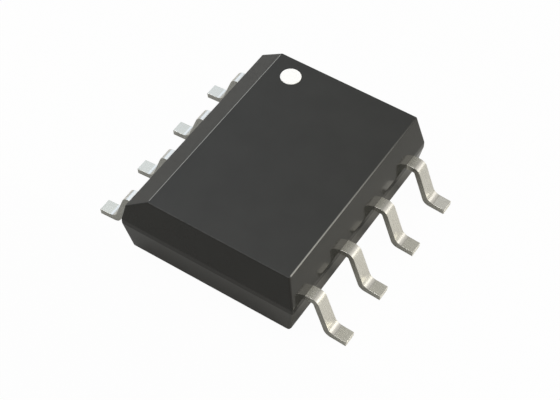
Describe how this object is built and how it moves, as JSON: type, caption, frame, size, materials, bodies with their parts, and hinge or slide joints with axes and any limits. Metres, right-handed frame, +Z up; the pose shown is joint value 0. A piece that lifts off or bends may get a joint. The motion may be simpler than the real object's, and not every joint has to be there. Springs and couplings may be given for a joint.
{
  "type": "soic chip",
  "caption": "Small-outline moulded chip that carries a wire-bonded die and solders flat to a board by gull-wing leads along both long sides, with a bevel and a dot that mark the first pin.",
  "frame": {"origin": "on the board plane, under the middle of the body", "axes": "+X from the pin 1 side to the pin 8 side, +Y along the body to the end with pins 1 and 8, +Z up from the board"},
  "size_m": [0.0058, 0.005, 0.0018],
  "materials": {
    "mould_compound": "satin",
    "white_ink": "matte",
    "tin_plating": "satin",
    "copper_pad": "satin",
    "silver_epoxy": "matte",
    "silicon": "polished",
    "gold_wire": "gloss"
  },
  "bodies": {
    "root": {"mould_body": "mould_compound", "pin1_dot": "white_ink", "die_pad": "copper_pad", "die_attach": "silver_epoxy", "die": "silicon", "lead_1": "tin_plating", "lead_2": "tin_plating", "lead_3": "tin_plating", "lead_4": "tin_plating", "lead_5": "tin_plating", "lead_6": "tin_plating", "lead_7": "tin_plating", "lead_8": "tin_plating", "bond_wire_1": "gold_wire", "bond_wire_2": "gold_wire", "bond_wire_3": "gold_wire", "bond_wire_4": "gold_wire", "bond_wire_5": "gold_wire", "bond_wire_6": "gold_wire", "bond_wire_7": "gold_wire", "bond_wire_8": "gold_wire"}
  },
  "joints": []
}
